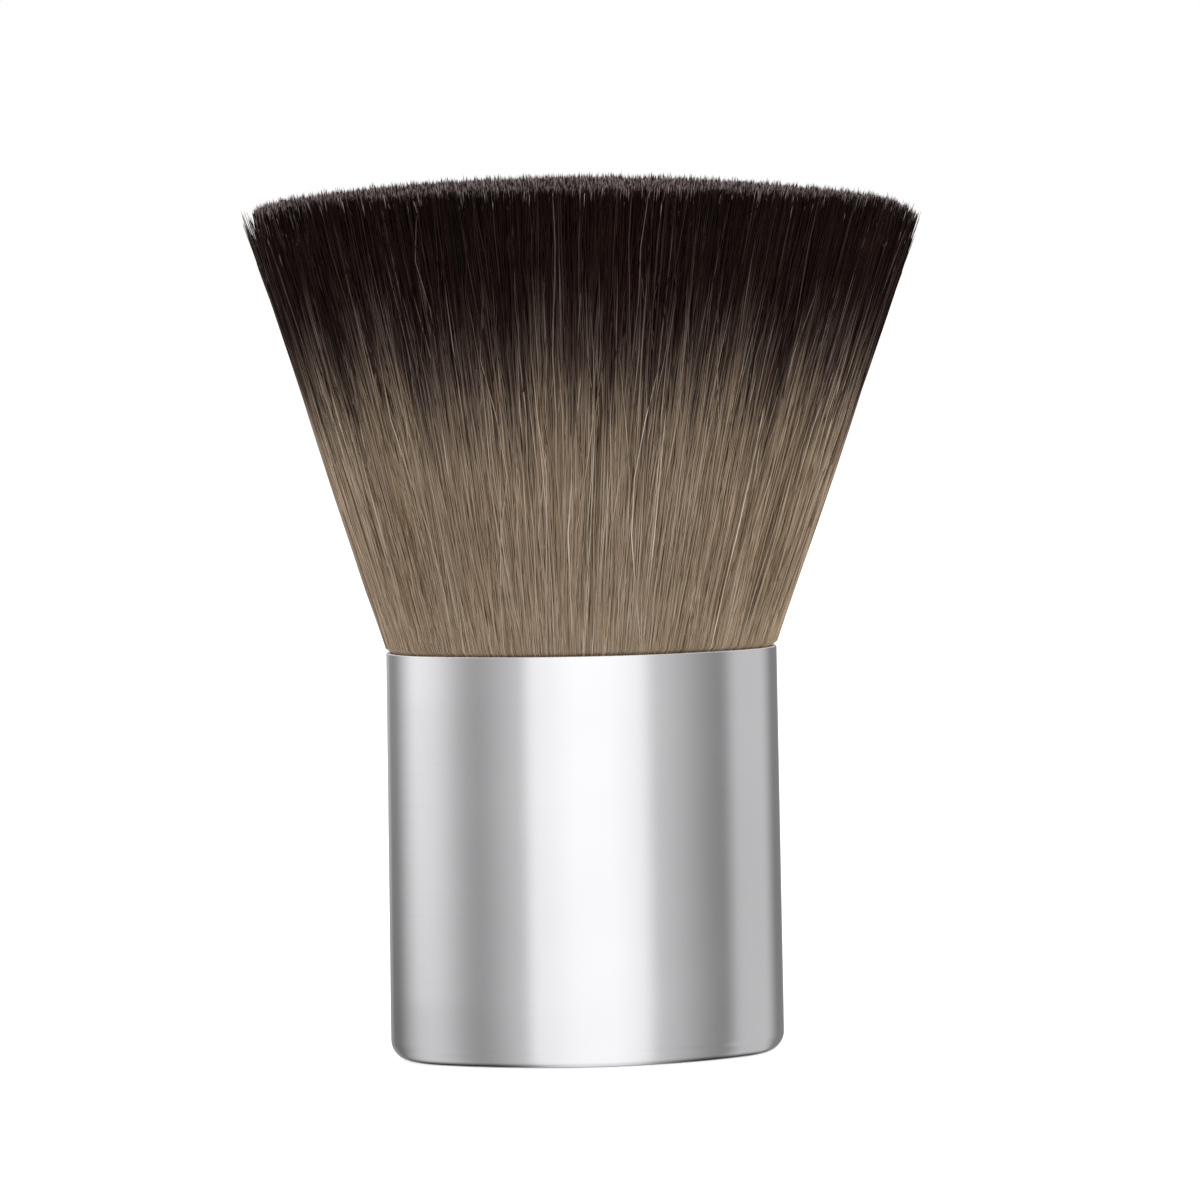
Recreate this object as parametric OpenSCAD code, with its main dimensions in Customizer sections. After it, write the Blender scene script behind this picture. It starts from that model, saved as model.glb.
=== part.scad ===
// Oval flat-top kabuki brush, in millimetres. +Z is up, +X is to the right across the oval,
// and the front faces -Y. The origin is the middle of the flat base.

/* [Handle shell] */
// Width of the oval handle at its widest, just above the rounded base edge
handle_w = 31.5; // [27:0.1:38]
// Depth of the oval handle, front to back
handle_d = 19.5; // [17:0.1:24]
// Radius of the oval's two ends
end_r = 6.75; // [6:0.05:8]
// Height of the handle from its base to its mouth
handle_h = 32.5; // [30:0.1:44]
// Wall of the drawn aluminium shell
shell_wall = 0.6; // [0.4:0.05:0.9]
// Floor of the drawn aluminium shell
shell_floor = 0.7; // [0.5:0.05:1.2]
// Radius of the rounded edge round the base
base_r = 1.6; // [1.1:0.1:2.6]
// How far the shell draws in between its base and its mouth, on each side
mouth_draft = 0.15; // [0.05:0.05:0.4]
// Chamfer round the outside of the shell's lip
lip_chamfer = 0.15; // [0.05:0.05:0.3]

/* [Weight] */
// Thickness of the steel weight in the bottom of the handle
weight_h = 6; // [3:0.5:9]
// Chamfer on the weight's edges
weight_chamfer = 0.6; // [0.3:0.1:1.2]
// Clearance round the weight
weight_fit = 0.2; // [0.1:0.05:0.4]
// Thickness of the adhesive film under the weight
film_t = 0.2; // [0.1:0.05:0.4]
// Margin of the adhesive film inside the weight's flat underside
film_margin = 1; // [0.5:0.1:3]

/* [Insert] */
// Clearance between the plastic insert and the mouth of the shell
insert_fit = 0.1; // [0.05:0.05:0.3]
// Wall of the insert
insert_wall = 1; // [0.7:0.1:1.2]
// Distance from the handle's mouth down to the insert's top edge
insert_drop = 6; // [5.5:0.1:8]
// Depth of the socket that takes the cup
socket_h = 11.5; // [9.5:0.1:13]
// Thickness of the deck that the cup stands on
deck_t = 1.5; // [1:0.1:2.5]
// Thickness of the ribs under the deck
rib_t = 0.8; // [0.5:0.1:1.5]
// Distance between the two cross ribs
rib_gap = 12; // [8:0.5:16]
// Height of the glue bead that seals the insert's top edge to the shell
bead_h = 0.8; // [0.4:0.1:1.5]

/* [Tuft cup] */
// Wall of the aluminium cup that holds the roots
cup_wall = 0.4; // [0.3:0.05:0.6]
// Height of the cup
cup_h = 7.8; // [7.2:0.1:8.5]
// Thickness of the glue film between the cup and the insert
cup_glue = 0.15; // [0.1:0.05:0.3]
// Height of the glue film
cup_glue_h = 5.5; // [3:0.1:7]
// Depth of cured resin under the roots
resin_h = 2.2; // [1.5:0.1:2.6]
// How far the resin climbs round the roots
resin_climb = 0.8; // [0.4:0.1:1.2]

/* [Root binding] */
// Thickness of the thread binding round the roots
binding_t = 0.45; // [0.3:0.05:0.6]
// Height of the thread binding
binding_h = 2.4; // [1.5:0.1:3]
// Clearance between the binding and the cup
binding_fit = 0.05; // [0.05:0.05:0.2]

/* [Bristles] */
// Width of the tuft across the tips at its two ends
tuft_w = 54; // [46:0.5:60]
// Depth of the tuft across its front and back tips
tuft_d = 34; // [28:0.5:40]
// Height of the middle tips above the handle's mouth
tuft_rise = 38; // [30:0.5:48]
// How much lower the end tips stand than the middle ones
tuft_dome = 2.8; // [0.5:0.1:6]
// Height of the bound roots
root_h = 4.2; // [3.8:0.1:4.8]
// Clearance between the bristles and the mouth of the shell
mouth_clear = 0.35; // [0.3:0.05:0.6]
// Bristle strands from one end of the oval to the other
strand_columns = 25; // [21:2:25]
// Bristle strands from the front to the back
strand_rows = 17; // [15:2:17]
// Length of a strand's pointed tip
tip_length = 2; // [1:0.5:6]
// Spread of the strands' lengths
tip_spread = 0.6; // [0:0.1:1.5]

/* [Hidden] */
$fn = 96;

// The oval is drawn with four arcs: an end circle at each side, and a large circle for the front
// and the back. An offset oval keeps the same four centres.
half_w = handle_w / 2;
half_d = handle_d / 2;
end_x = half_w - end_r;
end_in = half_d - end_r;
face_y = (pow(end_x, 2) - pow(end_in, 2)) / (2 * end_in);
face_r = face_y + half_d;
end_angle = atan2(face_y, end_x);

// Offsets from the outline of the shell's widest part, inwards, layer by layer
cavity_o = -shell_wall;
mouth_o = -shell_wall - mouth_draft;
insert_o = mouth_o - insert_fit;
socket_o = insert_o - insert_wall;
cup_o = socket_o - cup_glue;
cup_in_o = cup_o - cup_wall;
binding_o = cup_in_o - binding_fit;
root_o = binding_o - binding_t;
tuft_mouth_o = mouth_o - mouth_clear;

// Heights, from the base up
film_z = shell_floor;
weight_z = film_z + film_t;
insert_z = weight_z + weight_h;
insert_top = handle_h - insert_drop;
cup_z = insert_top - socket_h;
resin_z = cup_z + cup_wall;
root_z = resin_z + resin_h;
root_top = root_z + root_h;
binding_z = root_z + resin_climb;
tips_z = handle_h + tuft_rise;

// Measures that shape the solids and aren't seen
deep = 60; // reaches past the middle of any profile
through = 1; // how far a cutter runs past a face
base_steps = 6; // conical bands in the rounded base edge
backing_drop = 0.3; // how far below the mouth the strands leave their packed backing
root_fill = 0.84; // share of its cell that a strand fills at the backing
shoulder_fill = 0.84; // the same where its tip begins
tip_wander = 0.3; // share of its cell that a tip strays over
chance_steps = [127.1, 311.7, 74.7]; // angles that part neighbouring strands' chances
chance_scale = 4375.5; // spreads a sine over many whole numbers

// A solid that follows the oval. Its child is a 2D profile whose x is the offset from the
// outline and whose y is the height. Whole turns about the two end centres lap under the ends of
// the part turns about the two face centres.
module oval_turn() {
    for (side = [-1, 1])
        translate([side * end_x, 0, 0])
            rotate_extrude() arc_profile(end_r, 0) children();
    for (side = [0, 180])
        rotate(side)
            translate([0, -face_y, 0])
                rotate_extrude(angle = 180 - 2 * end_angle, start = end_angle)
                    arc_profile(face_r, face_y) children();
}

// The profile at the radius of one arc, cut off at the inner radius given
module arc_profile(radius, inner) {
    intersection() {
        translate([radius, 0]) children();
        translate([inner, -through]) square([deep, handle_h + 3 * through]);
    }
}

// An oval slab with upright sides
module oval_slab(offset_by, low, high) {
    oval_turn() translate([-deep, low]) square([deep + offset_by, high - low]);
}

// A slab whose top and bottom edges are chamfered
module chamfered_slab(offset_by, low, high, chamfer) {
    oval_turn() polygon([
        [-deep, low], [offset_by - chamfer, low], [offset_by, low + chamfer],
        [offset_by, high - chamfer], [offset_by - chamfer, high], [-deep, high]]);
}

// Points of a rounded base edge, from the flat base up to the wall
function base_edge(offset_by, low, radius) =
    [for (step = [0:base_steps]) let(a = 90 * step / base_steps)
        [offset_by - radius * (1 - sin(a)), low + radius * (1 - cos(a))]];

module handle_shell() {
    inner_r = max(base_r - shell_wall, base_r / 4);
    lip = [[-mouth_draft, handle_h - lip_chamfer], [-mouth_draft - lip_chamfer, handle_h], [-deep, handle_h]];
    mouth = [[mouth_o, handle_h + through], [-deep, handle_h + through]];
    color([0.80, 0.80, 0.82])
    difference() {
        oval_turn() polygon(concat([[-deep, 0]], base_edge(0, 0, base_r), lip));
        oval_turn() polygon(concat([[-deep, shell_floor]], base_edge(cavity_o, shell_floor, inner_r), mouth));
    }
}

module weight_adhesive() {
    color([0.88, 0.86, 0.78])
    oval_slab(mouth_o - weight_fit - weight_chamfer - film_margin, film_z, weight_z);
}

module base_weight() {
    color([0.55, 0.56, 0.58])
    chamfered_slab(mouth_o - weight_fit, weight_z, insert_z, weight_chamfer);
}

module handle_insert() {
    skirt_top = cup_z - deck_t;
    rib_h = skirt_top + deck_t / 2 - insert_z;
    color([0.18, 0.18, 0.19]) {
        difference() {
            oval_slab(insert_o, insert_z, insert_top);
            oval_slab(socket_o, cup_z, insert_top + through);
            oval_slab(socket_o, insert_z - through, skirt_top);
        }
        intersection() {
            oval_slab(socket_o + insert_wall / 2, insert_z, insert_z + rib_h);
            union() {
                translate([-half_w, -rib_t / 2, insert_z]) cube([handle_w, rib_t, rib_h]);
                for (side = [-1, 1])
                    translate([side * rib_gap / 2 - rib_t / 2, -half_d, insert_z])
                        cube([rib_t, handle_d, rib_h]);
            }
        }
    }
}

module insert_glue_bead() {
    foot = insert_wall / 2 + insert_fit;
    past = foot / bead_h * through;
    low = insert_top - through;
    high = insert_top + bead_h + through;
    color([0.86, 0.84, 0.74])
    difference() {
        oval_slab(mouth_o, insert_top, insert_top + bead_h);
        oval_turn() polygon([
            [-deep, low], [mouth_o - foot - past, low],
            [mouth_o + past, high], [-deep, high]]);
    }
}

module tuft_cup() {
    color([0.74, 0.75, 0.77])
    difference() {
        oval_slab(cup_o, cup_z, cup_z + cup_h);
        oval_slab(cup_in_o, cup_z + cup_wall, cup_z + cup_h + through);
    }
}

module cup_adhesive() {
    color([0.88, 0.86, 0.78])
    difference() {
        oval_slab(socket_o, cup_z, cup_z + cup_glue_h);
        oval_slab(cup_o, cup_z - through, cup_z + cup_glue_h + through);
    }
}

module root_resin() {
    color([0.80, 0.70, 0.45])
    difference() {
        oval_slab(cup_in_o, resin_z, binding_z);
        oval_slab(root_o, root_z, binding_z + through);
    }
}

module root_binding() {
    color([0.92, 0.91, 0.86])
    difference() {
        chamfered_slab(binding_o, binding_z, binding_z + binding_h, binding_t / 3);
        oval_slab(root_o, binding_z - through, binding_z + binding_h + through);
    }
}

// Point on the outline at an offset, at a share of the way round from the right-hand end
function oval_point(share, offset_by) =
    let(re = end_r + offset_by,
        rf = face_r + offset_by,
        end_arc = re * end_angle * PI / 180,
        quarter = end_arc + rf * (90 - end_angle) * PI / 180,
        way = (share - floor(share)) * 4 * quarter,
        q = min(floor(way / quarter), 3),
        u = q % 2 == 0 ? way - q * quarter : (q + 1) * quarter - way,
        a = u <= end_arc ? u / re * 180 / PI : end_angle + (u - end_arc) / rf * 180 / PI,
        p = u <= end_arc ? [end_x + re * cos(a), re * sin(a)] : [rf * cos(a), rf * sin(a) - face_y])
    [p[0] * (q == 0 || q == 3 ? 1 : -1), p[1] * (q < 2 ? 1 : -1)];

// The strands stand on a square grid from -1 to 1 each way, whose rings are bent into ovals
function grid_share(u, v) =
    abs(u) >= abs(v) ? (u > 0 ? v / u / 8 : 0.5 + v / u / 8)
    : (v > 0 ? 0.25 : 0.75) - u / v / 8;
function grid_point(u, v, offset_by) =
    let(s = max(abs(u), abs(v)))
    s == 0 ? [0, 0] : s * oval_point(grid_share(u, v), offset_by);

// The grid's place along one way, at a share of the strand with the number given
function grid_place(number, count, share) =
    -1 + 2 * (number + root_fill * share) / (count - 1 + root_fill);

// How far the tuft has spread at a height, against its size at its backing
backing_z = handle_h - backing_drop;
backing_half = [half_w + tuft_mouth_o, half_d + tuft_mouth_o];
side_drop = tuft_dome * pow(tuft_d / tuft_w, 2);
tuft_tall = tips_z - backing_z;
end_share = [for (count = [strand_columns, strand_rows]) grid_place(count - 1, count, 0.5)];
tuft_flare = [
    (tuft_w / 2 / end_share[0] - backing_half[0]) / (tuft_tall - tuft_dome),
    (tuft_d / 2 / end_share[1] - backing_half[1]) / (tuft_tall - side_drop)];
function spread(p, z) =
    [for (k = [0, 1]) p[k] * (1 + (z - backing_z) * tuft_flare[k] / backing_half[k])];

// A number from 0 to 1 that looks random and is the same each time
function chance(a, b, c) =
    let(n = sin(a * chance_steps[0] + b * chance_steps[1] + c * chance_steps[2]) * chance_scale) n - floor(n);

// A strand at its backing, with its four corners pulled in to the share given
corners = [[0, 0], [1, 0], [1, 1], [0, 1]];
function strand_ring(i, j, share, z) =
    [for (c = corners)
        let(at = [for (k = [0, 1]) 0.5 + (c[k] - 0.5) * share],
            p = grid_point(
                grid_place(i, strand_columns, at[0]), grid_place(j, strand_rows, at[1]), tuft_mouth_o))
        [each spread(p, z), z]];

function strand_tip(i, j) =
    let(at = [for (k = [0, 1]) 0.5 + tip_wander * (chance(i, j, k) - 0.5)],
        p = grid_point(
            grid_place(i, strand_columns, at[0]), grid_place(j, strand_rows, at[1]), tuft_mouth_o),
        top = spread(p, tips_z - tuft_dome / 2),
        z = tips_z - tuft_dome * pow(norm(top) * 2 / tuft_w, 2) - tip_spread * chance(i, j, 2))
    [each spread(p, z), z];

// The points of a strand: four at its backing, four where its tip begins, and its point
function strand_points(i, j) =
    let(tip = strand_tip(i, j))
    concat(
        strand_ring(i, j, 1, backing_z),
        strand_ring(i, j, shoulder_fill / root_fill, tip[2] - tip_length),
        [tip]);

shoulder_at = 4; // number of the first point where a strand's tip begins
point_at = 8; // number of its point
per_strand = point_at + 1;
function id(i, j, corner) = (i * strand_rows + j) * per_strand + corner;

// Two triangles for a quad whose corners run anticlockwise seen from outside
function quad(a, b, c, d) = [[a, c, b], [a, d, c]];

// The corner points round the edge of the backing, anticlockwise from above
last_i = strand_columns - 1;
last_j = strand_rows - 1;
edge_ids = concat(
    [for (i = [0:last_i]) each [id(i, 0, 0), id(i, 0, 1)]],
    [for (j = [0:last_j]) each [if (j > 0) id(last_i, j, 1), id(last_i, j, 2)]],
    [for (i = [last_i:-1:0]) each [if (i < last_i) id(i, last_j, 2), id(i, last_j, 3)]],
    [for (j = [last_j:-1:0]) each [if (j < last_j) id(0, j, 3), if (j > 0) id(0, j, 0)]]);
edge_count = len(edge_ids);

// The same edge points taken down to the bound roots, at one height
function root_ring(z) =
    [for (e = edge_ids)
        let(corner = e % per_strand,
            cell = (e - corner) / per_strand,
            i = floor(cell / strand_rows),
            j = cell % strand_rows,
            p = grid_point(
                grid_place(i, strand_columns, corners[corner][0]),
                grid_place(j, strand_rows, corners[corner][1]), root_o))
        [each p, z]];

module bristle_tuft() {
    strand_total = strand_columns * strand_rows;
    root_id = strand_total * per_strand;
    rings = [edge_ids, [for (k = [0:edge_count - 1]) root_id + k],
        [for (k = [0:edge_count - 1]) root_id + edge_count + k]];
    points = concat(
        [for (i = [0:last_i], j = [0:last_j]) each strand_points(i, j)],
        root_ring(root_top), root_ring(root_z), [[0, 0, root_z]]);
    strand_faces = [for (i = [0:last_i], j = [0:last_j], c = [0:3]) let(d = (c + 1) % 4)
        each concat(
            quad(id(i, j, c), id(i, j, d), id(i, j, shoulder_at + d), id(i, j, shoulder_at + c)),
            [[id(i, j, shoulder_at + c), id(i, j, point_at), id(i, j, shoulder_at + d)]])];
    gap_faces = [for (i = [0:last_i], j = [0:last_j])
        each concat(
            i < last_i ? quad(id(i, j, 1), id(i + 1, j, 0), id(i + 1, j, 3), id(i, j, 2)) : [],
            j < last_j ? quad(id(i, j, 3), id(i, j, 2), id(i, j + 1, 1), id(i, j + 1, 0)) : [],
            i < last_i && j < last_j
                ? quad(id(i, j, 2), id(i + 1, j, 3), id(i + 1, j + 1, 0), id(i, j + 1, 1)) : [])];
    side_faces = [for (level = [0, 1], k = [0:edge_count - 1]) let(m = (k + 1) % edge_count)
        each quad(rings[level + 1][k], rings[level + 1][m], rings[level][m], rings[level][k])];
    base_faces = [for (k = [0:edge_count - 1])
        [root_id + 2 * edge_count, rings[2][k], rings[2][(k + 1) % edge_count]]];
    faces = concat(strand_faces, gap_faces, side_faces, base_faces);
    color([0.42, 0.36, 0.31])
    polyhedron(points, faces);
    echo(strands = strand_total, triangles = len(faces));
}

handle_shell();
weight_adhesive();
base_weight();
handle_insert();
insert_glue_bead();
tuft_cup();
cup_adhesive();
root_resin();
root_binding();
bristle_tuft();
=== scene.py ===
"""Dresses the oval kabuki brush: a satin aluminium handle, a dense two-tone tuft, a pale studio."""

import math

import bpy
import numpy as np
from mathutils import Matrix, Vector


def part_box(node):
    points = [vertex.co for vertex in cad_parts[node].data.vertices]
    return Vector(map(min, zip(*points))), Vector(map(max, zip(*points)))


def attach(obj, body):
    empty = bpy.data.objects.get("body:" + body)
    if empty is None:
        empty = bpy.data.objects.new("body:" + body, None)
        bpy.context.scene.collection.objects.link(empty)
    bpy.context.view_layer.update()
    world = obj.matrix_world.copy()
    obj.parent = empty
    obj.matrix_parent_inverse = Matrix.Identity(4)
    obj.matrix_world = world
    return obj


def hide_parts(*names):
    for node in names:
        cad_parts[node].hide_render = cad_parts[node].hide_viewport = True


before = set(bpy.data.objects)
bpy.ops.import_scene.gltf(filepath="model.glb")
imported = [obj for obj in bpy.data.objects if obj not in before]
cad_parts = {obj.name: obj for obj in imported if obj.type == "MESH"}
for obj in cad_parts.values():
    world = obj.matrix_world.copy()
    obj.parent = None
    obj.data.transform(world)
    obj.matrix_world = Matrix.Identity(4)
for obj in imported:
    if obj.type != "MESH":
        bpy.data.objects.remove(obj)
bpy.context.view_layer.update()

MM = 0.001
rng = np.random.default_rng(20)

# Sizes that come from the frame
_, shell_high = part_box("handle_shell")
tuft_low, tuft_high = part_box("bristle_tuft")
HALF_W = shell_high.x
HALF_D = shell_high.y
RIM_Z = shell_high.z
TIPS_Z = tuft_high.z
ROOT_Z = tuft_low.z

# Sizes of the handle that its box doesn't give, as in the part
END_R = 6.75 * MM
WALL = 0.6 * MM
FLOOR = 0.7 * MM
BASE_R = 1.6 * MM
MOUTH_DRAFT = 0.15 * MM
LIP_R = 0.15 * MM
BASE_FLAT = 1.2 * MM

# How finely the handle and the tuft's body are meshed
SHELL_AROUND = 320
BASE_STEPS = 10
WALL_STEPS = 8
LIP_OUT_STEPS = 5
LIP_IN_STEPS = 6
LIP_START = 15
CORE_AROUND = 256
CORE_RINGS = 20

# The tuft's outer form: half its size at WIDEST_H over the rim, its bulge over the lip and its domed top
TUFT_HALF_W = 27.35 * MM
TUFT_HALF_D = 17.0 * MM
WIDEST_H = 35.8 * MM
TUFT_LEAN = 0.0215
LIP_BULGE = 0.5 * MM
BULGE_FROM = -0.15 * MM
BULGE_TO = 0.35 * MM
DOME_AT_END = 2.2 * MM
TOP_TILT = 0.27 * MM
CORNER_FROM = 0.83
CORNER_POWER = 1.5
LEFT_DROP = 0.4 * MM
RIGHT_DROP = 1.1 * MM

# How far each tip ends from the domed top
TIP_BELOW = 0.5 * MM
TIP_RAGGED = 0.22 * MM
TIP_PROUD = 0.13 * MM
TIP_CUT = 0.55 * MM

# How strands gather into locks, and how those near the two ends draw in towards their tips. The tucks
# are in millimetres, as hair_style takes them
LOCK_POWER = 1.5
NEAR_TOP_POWER = 5
END_TUCK = 1.6
LOOSE_TUCK = 0.5
RIGHT_TUCK = 0.15
TUCK_POWER = 4
END_CURVE = 7 * MM
ROUND_END_POWER = 6
SPLAY_RANGE = (-0.2, 1.0)
BEND_LIMIT = 2.2
BEND_RISE = 6

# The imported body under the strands, and the bound roots in the cup
CORE_SHARE = 0.90
CORE_BELOW = 2.0 * MM
CORE_FOOT = 0.8 * MM
CORE_CROWN = (0.85, 0.7, 0.5, 0.3, 0.12)
CORE_ROUGH = 0.12 * MM
ROOT_HALF_W = 12.4 * MM
ROOT_LENGTH = 4.0 * MM

# A strand's first rings from the rim, where its free length starts, and the shares of that of its others
ROOT_RINGS = np.array([-0.6, -0.1, 0.35]) * MM
FREE_FROM = 0.8 * MM
SKIN_STEPS = np.array([0.0, 0.12, 0.25, 0.38, 0.51, 0.64, 0.77, 0.88, 0.965, 0.993, 1.0])
TOP_STEPS = np.array([0.7, 0.85, 0.95, 0.992, 1.0])
TAPER_FROM = 0.93
TIP_SHARE = 0.34
HAIR_SIDES = 3

# How many strands, and where they stand as shares of the way out from the tuft's middle
SKIN_PIECES = 8
SKIN_HAIRS = 2500
SKIN_DEPTH = 0.10
SKIN_CROWDING = 1.3
TOP_PIECES = 4
TOP_HAIRS = 7500
TOP_REACH = 0.94
END_HAIRS = 900
END_SPREAD = 0.035
END_FROM = 0.93
END_SHORT = 4.5 * MM
STRAY_HAIRS = 600
STRAY_FROM = 0.985
STRAY_SHORT = 1.5 * MM

# The classes that give a strand its tone and the height of its dye, how long its painted pale tip is, and how
# far up the map the imported body goes. Heights and lengths are shares of a strand
HAIR_CLASSES = 512
DYE_STEPS = 16
DYE_FROM = 0.42
DYE_TO = 0.765
DYE_SPREAD = 0.26
DYE_CHANCE = 0.42
DYE_HIGHEST = 0.65
LOCKS = 420
LOCK_STRIDE = 11
LOCK_SHARE = 0.45
LOCK_BLUR = 0.0012
# The shortest and the added length of each strand's painted pale tip
PALE_TIP_LEAST = 0.003
PALE_TIP_MORE = 0.035
CORE_TOP_UP = 0.86
CORE_SIDE_UP = 0.95


def srgb(code):
    """A colour written as six hex digits, as the linear numbers that nodes take."""
    parts = [int(code[k : k + 2], 16) / 255 for k in (0, 2, 4)]
    return tuple(c / 12.92 if c <= 0.04045 else ((c + 0.055) / 1.055) ** 2.4 for c in parts) + (1.0,)


# The four-centre oval


def oval_points(share, offset):
    """Points on the handle's outline, moved out by offset, at shares of the way round from its right end."""
    end_x = HALF_W - END_R
    end_in = HALF_D - END_R
    face_y = (end_x**2 - end_in**2) / (2 * end_in)
    end_angle = math.atan2(face_y, end_x)
    end_r = END_R + offset
    face_r = face_y + HALF_D + offset
    end_arc = end_r * end_angle
    quarter = end_arc + face_r * (math.pi / 2 - end_angle)
    way = np.mod(share, 1.0) * 4 * quarter
    number = np.minimum(way // quarter, 3)
    along = np.where(number % 2 == 0, way - number * quarter, (number + 1) * quarter - way)
    on_end = along <= end_arc
    angle = np.where(on_end, along / end_r, end_angle + (along - end_arc) / face_r)
    x = np.where(on_end, end_x + end_r * np.cos(angle), face_r * np.cos(angle))
    y = np.where(on_end, end_r * np.sin(angle), face_r * np.sin(angle) - face_y)
    x = np.where((number == 0) | (number == 3), x, -x)
    y = np.where(number < 2, y, -y)
    return np.stack([x, y], -1)


# Meshes


def make_mesh(name, points, quads, tris, uv=None):
    """A smooth mesh object from arrays. uv has one row for each corner, quads first."""
    me = bpy.data.meshes.new(name)
    corners = np.concatenate([quads.ravel(), tris.ravel()]).astype(np.int32)
    starts = np.concatenate(
        [np.arange(len(quads)) * 4, len(quads) * 4 + np.arange(len(tris)) * 3]
    ).astype(np.int32)
    me.vertices.add(len(points))
    me.vertices.foreach_set("co", points.astype(np.float32).ravel())
    me.loops.add(len(corners))
    me.loops.foreach_set("vertex_index", corners)
    me.polygons.add(len(starts))
    me.polygons.foreach_set("loop_start", starts)
    me.polygons.foreach_set("use_smooth", np.full(len(starts), True))
    me.update(calc_edges=True)
    if uv is not None:
        layer = me.uv_layers.new(name="OFBake")
        layer.uv.foreach_set("vector", uv.astype(np.float32).ravel())
    me.validate()
    ob = bpy.data.objects.new(name, me)
    bpy.context.scene.collection.objects.link(ob)
    return ob


def ring_quads(rings, around):
    """Quads between rings of points that follow one another."""
    k = np.arange(around)
    after = (k + 1) % around
    return np.concatenate(
        [
            np.stack([r * around + k, r * around + after, (r + 1) * around + after, (r + 1) * around + k], 1)
            for r in range(rings - 1)
        ]
    )


def end_fans(rings, around):
    """Triangles that close the first and the last ring, round two points that follow the rings."""
    k = np.arange(around)
    after = (k + 1) % around
    last = (rings - 1) * around
    first_fan = np.stack([np.full(around, rings * around), after, k], 1)
    last_fan = np.stack([np.full(around, rings * around + 1), last + k, last + after], 1)
    return np.concatenate([first_fan, last_fan])


def lathe_oval(name, profile, around):
    """A closed surface that follows the oval.

    profile holds (offset, height) pairs from the middle of the base, up the outside and down the inside
    to the middle of the floor. The offset of its first and last pair is None.
    """
    share = np.arange(around) / around
    rings = [
        np.column_stack([oval_points(share, offset), np.full(around, height)])
        for offset, height in profile[1:-1]
    ]
    points = np.vstack([*rings, [0, 0, profile[0][1]], [0, 0, profile[-1][1]]])
    return make_mesh(name, points, ring_quads(len(rings), around), end_fans(len(rings), around))


def arc_profile(offset, height, radius, start, end, steps):
    """Points of a round edge about a centre, between two angles in degrees."""
    angles = np.radians(np.linspace(start, end, steps + 1))
    return [(offset + radius * math.cos(a), height + radius * math.sin(a)) for a in angles]


# Hair


def tuft_place(share, radial, height):
    """Where a strand stands in plan at a height over the rim.

    radial runs from 0 in the middle to 1 at the tuft's skin.
    """
    at_rim = oval_points(share, -WALL - MOUTH_DRAFT)
    inner = np.array([HALF_W, HALF_D]) - WALL - MOUTH_DRAFT
    t = np.clip((height - BULGE_FROM) / (BULGE_TO - BULGE_FROM), 0, 1)
    bulge = LIP_BULGE * t * t * (3 - 2 * t)
    flare = (np.array([TUFT_HALF_W, TUFT_HALF_D]) - inner - LIP_BULGE) / WIDEST_H
    rise = np.maximum(height, 0)[..., None]
    grown = inner + bulge[..., None] + rise * flare
    return at_rim * radial[..., None] * grown / inner + rise * np.array([TUFT_LEAN, 0])


def top_height(plan):
    """Height over the rim of the tuft's domed top, which rounds off at the two ends."""
    x = plan[..., 0] / TUFT_HALF_W - TUFT_LEAN
    y = plan[..., 1] / TUFT_HALF_W
    corner = np.clip((np.abs(x) - CORNER_FROM) / (1 - CORNER_FROM), 0, 1)
    drop = np.where(x < 0, LEFT_DROP, RIGHT_DROP) * corner**CORNER_POWER
    return TIPS_Z - RIM_Z - DOME_AT_END * (x * x + y * y) - TOP_TILT * x - drop


def bunching(share, t, waves):
    """A sideways drift that neighbouring strands share, so that they gather into locks towards their tips."""
    drift = np.zeros_like(t)
    for count, size, phase, twist in waves:
        drift += size * np.sin(2 * math.pi * (count * share + twist * t) + phase)
    return drift * t**LOCK_POWER


def wander(count, size, slow, fast):
    """Each strand's own bends: a slow and a faster wave, as a function of the share of the way up."""
    parts = []
    # Each wave has the shape of its chance, its share of the size and its least and most turns
    for shape, share_of_size, (low, high) in ((2.0, 0.5, slow), (0.7, 0.42, fast)):
        amplitude = np.minimum(rng.gamma(shape, size * share_of_size, count), BEND_LIMIT * size)[:, None]
        turns = rng.uniform(low, high, count)[:, None]
        phase = rng.uniform(0, 2 * math.pi, count)[:, None]
        parts.append((amplitude, turns, phase))

    def bend(t):
        total = np.zeros_like(t)
        for amplitude, turns, phase in parts:
            total += amplitude * (np.sin(2 * math.pi * turns * t + phase) - np.sin(phase))
        return total * np.minimum(t * BEND_RISE, 1)

    return bend


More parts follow.
